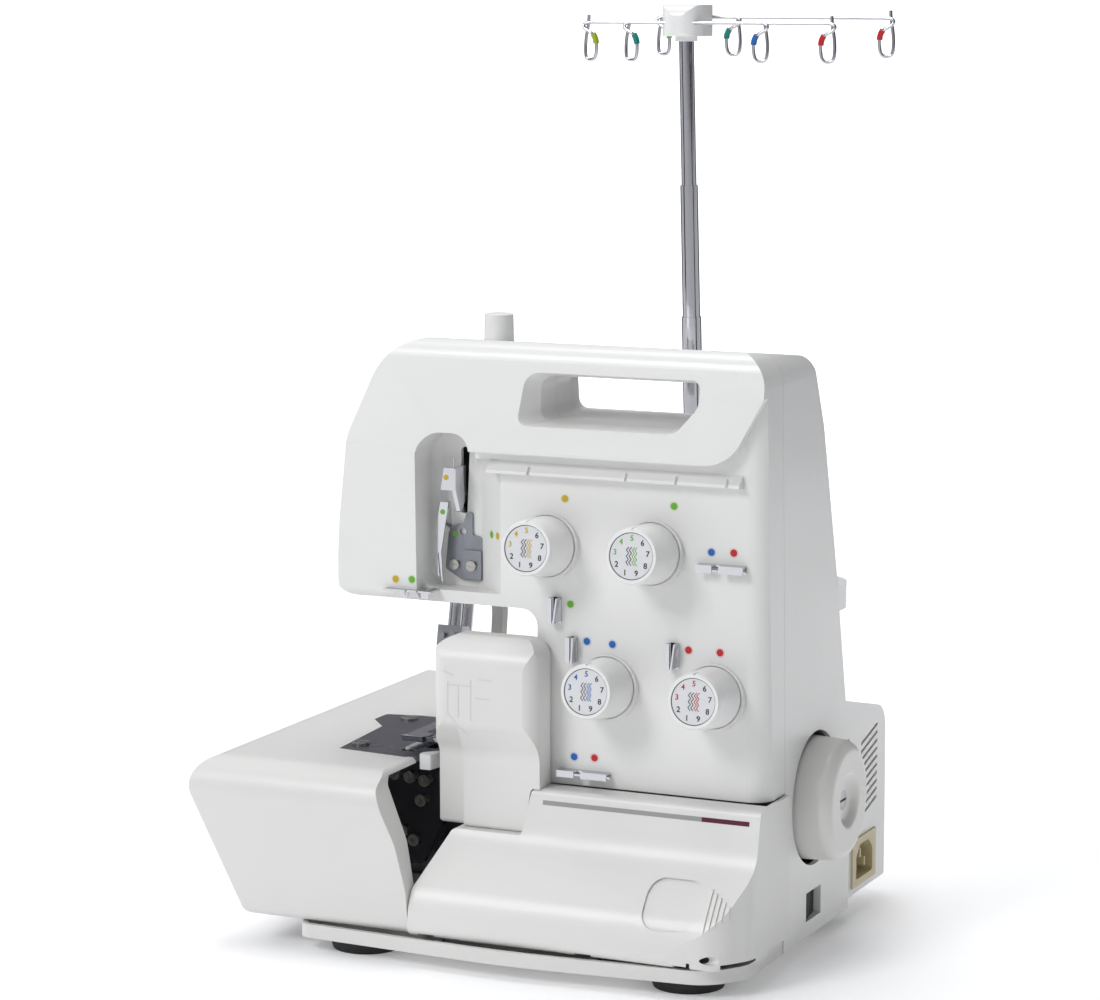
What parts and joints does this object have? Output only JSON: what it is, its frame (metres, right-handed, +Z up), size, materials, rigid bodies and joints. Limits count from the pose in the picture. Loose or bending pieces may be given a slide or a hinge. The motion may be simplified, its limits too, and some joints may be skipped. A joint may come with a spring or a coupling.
{
  "type": "serger overlock machine",
  "caption": "White overlock sewing machine with four colour-coded tension dials, telescopic thread mast, fold-down looper cover, swing-out cloth plate and handwheel.",
  "frame": {"origin": "on the floor plane, under the middle of the machine's overall box", "axes": "+Z up, +X to the handwheel side, +Y to the back, the sewing side faces -Y"},
  "size_m": [0.2932, 0.2434, 0.446],
  "materials": {
    "shell_white": "moulded, satin sheen",
    "base_white": "moulded base",
    "rubber_black": "matte",
    "steel": "brushed",
    "chrome": "polished",
    "cast_frame": "cast, bead blasted",
    "bronze": "sintered",
    "black_metal": "black enamel",
    "grey_metal": "satin grey",
    "black_plastic": "moulded",
    "grey_plastic": "moulded",
    "guard_white": "moulded, smooth",
    "dial_white": "moulded, satin",
    "mark_colours": "coloured sleeves",
    "inlet_cream": "moulded",
    "plate_steel": "dark, ground",
    "motor_dark": "dark enamel"
  },
  "bodies": {
    "machine": {"base_tray": "base_white", "rubber_feet": "rubber_black", "base_screws": "steel", "frame_casting": "cast_frame", "front_casing": "shell_white", "rear_casing": "shell_white", "motor_cover": "shell_white", "power_inlet": "inlet_cream", "bushes": "bronze", "drive_belt": "rubber_black", "motor": "motor_dark", "pivot_pins": "steel", "takeup_bracket": "grey_metal", "fine_screws": "steel", "needle_plate": "plate_steel", "lower_knife": "steel", "bay_plate": "black_metal", "table_hinge": "grey_metal", "hinge_rod": "steel", "tension_units": "steel", "thread_hooks": "chrome", "spool_stand": "shell_white", "spool_pins": "chrome", "cone_holders": "grey_plastic", "pole_outer": "chrome"},
    "drive_shaft": {"main_shaft": "steel", "drive_pulley": "cast_frame", "handwheel": "shell_white"},
    "rotor": {"motor_rotor": "steel"},
    "needle_group": {"needle_bar": "steel", "needle_clamp": "steel", "needles": "chrome"},
    "takeup": {"takeup_lever": "chrome"},
    "presser": {"presser_bar": "steel", "foot_holder": "steel", "foot_pin": "steel"},
    "foot": {"presser_foot": "chrome"},
    "lifter": {"presser_lifter": "base_white"},
    "knob": {"pressure_knob": "dial_white"},
    "feed": {"feed_dog": "steel"},
    "cutter": {"upper_knife": "steel"},
    "low_looper": {"lower_looper": "steel"},
    "up_looper": {"upper_looper": "steel"},
    "stitch": {"stitch_dial": "grey_plastic"},
    "finger": {"finger_tab": "dial_white"},
    "table": {"cloth_plate": "shell_white"},
    "carriage": {"cover_carriage": "grey_plastic"},
    "cover": {"looper_cover": "shell_white", "finger_guard": "guard_white"},
    "rocker": {"power_switch": "black_plastic"},
    "mast_middle": {"pole_middle": "chrome"},
    "mast_inner": {"pole_inner": "chrome"},
    "mast_head": {"guide_hub": "dial_white", "guide_wires": "chrome", "wire_sleeves": "mark_colours"},
    "left_needle_knob": {"left_needle_dial": "dial_white"},
    "right_needle_knob": {"right_needle_dial": "dial_white"},
    "upper_looper_knob": {"upper_looper_dial": "dial_white"},
    "lower_looper_knob": {"lower_looper_dial": "dial_white"}
  },
  "joints": [
    {"name": "handwheel_spin", "type": "hinge", "parent": "machine", "child": "drive_shaft", "pos_m": [-0.00044, -0.00539, 0.0733], "axis": [1, 0, 0], "continuous": true},
    {"name": "motor_spin", "type": "hinge", "parent": "machine", "child": "rotor", "pos_m": [0.09956, 0.07161, 0.058], "axis": [1, 0, 0], "continuous": true},
    {"name": "needle_stroke", "type": "slide", "parent": "machine", "child": "needle_group", "axis": [0, 0.2079, 0.9781], "range_m": [-0.022, 0]},
    {"name": "takeup_swing", "type": "hinge", "parent": "machine", "child": "takeup", "pos_m": [-0.02844, -0.02839, 0.222], "axis": [1, 0, 0], "range_deg": [-8, 8]},
    {"name": "presser_lift", "type": "slide", "parent": "machine", "child": "presser", "axis": [0, 0.2079, 0.9781], "range_m": [-0.003, 0.0015]},
    {"name": "foot_tilt", "type": "hinge", "parent": "presser", "child": "foot", "pos_m": [-0.04644, -0.03339, 0.103], "axis": [1, 0, 0], "range_deg": [-2, 2]},
    {"name": "lifter_turn", "type": "hinge", "parent": "machine", "child": "lifter", "pos_m": [-0.04544, 0.00761, 0.178], "axis": [1, 0, 0], "range_deg": [-30, 15]},
    {"name": "pressure_turn", "type": "hinge", "parent": "machine", "child": "knob", "pos_m": [-0.03344, -0.01239, 0.285], "axis": [0, 0, 1], "range_deg": [-180, 180]},
    {"name": "feed_stroke", "type": "slide", "parent": "machine", "child": "feed", "axis": [0, 1, 0], "range_m": [-0.0015, 0.0015]},
    {"name": "knife_stroke", "type": "slide", "parent": "machine", "child": "cutter", "axis": [0, 0, 1], "range_m": [-0.004, 0.002]},
    {"name": "low_looper_swing", "type": "hinge", "parent": "machine", "child": "low_looper", "pos_m": [0.00156, -0.02039, 0.042], "axis": [0, 1, 0], "range_deg": [-10, 4]},
    {"name": "up_looper_swing", "type": "hinge", "parent": "machine", "child": "up_looper", "pos_m": [0.00556, -0.02039, 0.06], "axis": [0, 1, 0], "range_deg": [-8, 4]},
    {"name": "stitch_turn", "type": "hinge", "parent": "machine", "child": "stitch", "pos_m": [0.07756, -0.05539, 0.058], "axis": [0, 1, 0], "range_deg": [-120, 120]},
    {"name": "finger_slide", "type": "slide", "parent": "machine", "child": "finger", "axis": [0, 1, 0], "range_m": [-0.003, 0]},
    {"name": "table_swing", "type": "hinge", "parent": "machine", "child": "table", "pos_m": [-0.06244, 0.10761, 0.075], "axis": [0, 0, 1], "range_deg": [-50, 0]},
    {"name": "cover_slide", "type": "slide", "parent": "machine", "child": "carriage", "axis": [1, 0, 0], "range_m": [0, 0.0035], "stiffness_N_per_m": 300},
    {"name": "cover_fold", "type": "hinge", "parent": "carriage", "child": "cover", "pos_m": [0.03756, -0.11089, 0.0192], "axis": [1, 0, 0], "range_deg": [0, 80]},
    {"name": "switch_rock", "type": "hinge", "parent": "machine", "child": "rocker", "pos_m": [0.12356, -0.00739, 0.022], "axis": [0, 0, 1], "range_deg": [-16, 0]},
    {"name": "mast_middle_slide", "type": "slide", "parent": "machine", "child": "mast_middle", "axis": [-0.0262, 0, 0.9997], "range_m": [-0.06, 0]},
    {"name": "mast_inner_slide", "type": "slide", "parent": "mast_middle", "child": "mast_inner", "axis": [-0.0262, 0, 0.9997], "range_m": [-0.066, 0]},
    {"name": "guide_turn", "type": "hinge", "parent": "mast_inner", "child": "mast_head", "pos_m": [0.04056, 0.04361, 0.431], "axis": [-0.0262, 0, 0.9997], "range_deg": [-15, 15]},
    {"name": "left_needle_turn", "type": "hinge", "parent": "machine", "child": "left_needle_knob", "pos_m": [0.01946, -0.07039, 0.19682], "axis": [0, -0.9951, 0.0993], "range_deg": [-160, 160]},
    {"name": "right_needle_turn", "type": "hinge", "parent": "machine", "child": "right_needle_knob", "pos_m": [0.07216, -0.07039, 0.19682], "axis": [0, -0.9951, 0.0993], "range_deg": [-160, 160]},
    {"name": "upper_looper_turn", "type": "hinge", "parent": "machine", "child": "upper_looper_knob", "pos_m": [0.04966, -0.07039, 0.13212], "axis": [0, -0.9951, 0.0993], "range_deg": [-160, 160]},
    {"name": "lower_looper_turn", "type": "hinge", "parent": "machine", "child": "lower_looper_knob", "pos_m": [0.10296, -0.07039, 0.13212], "axis": [0, -0.9951, 0.0993], "range_deg": [-160, 160]}
  ],
  "couplings": [
    {"joint": "motor_spin", "follows": "handwheel_spin", "ratio": 3.25},
    {"joint": "lifter_turn", "follows": "presser_lift", "rad_per_m": 174.53}
  ]
}
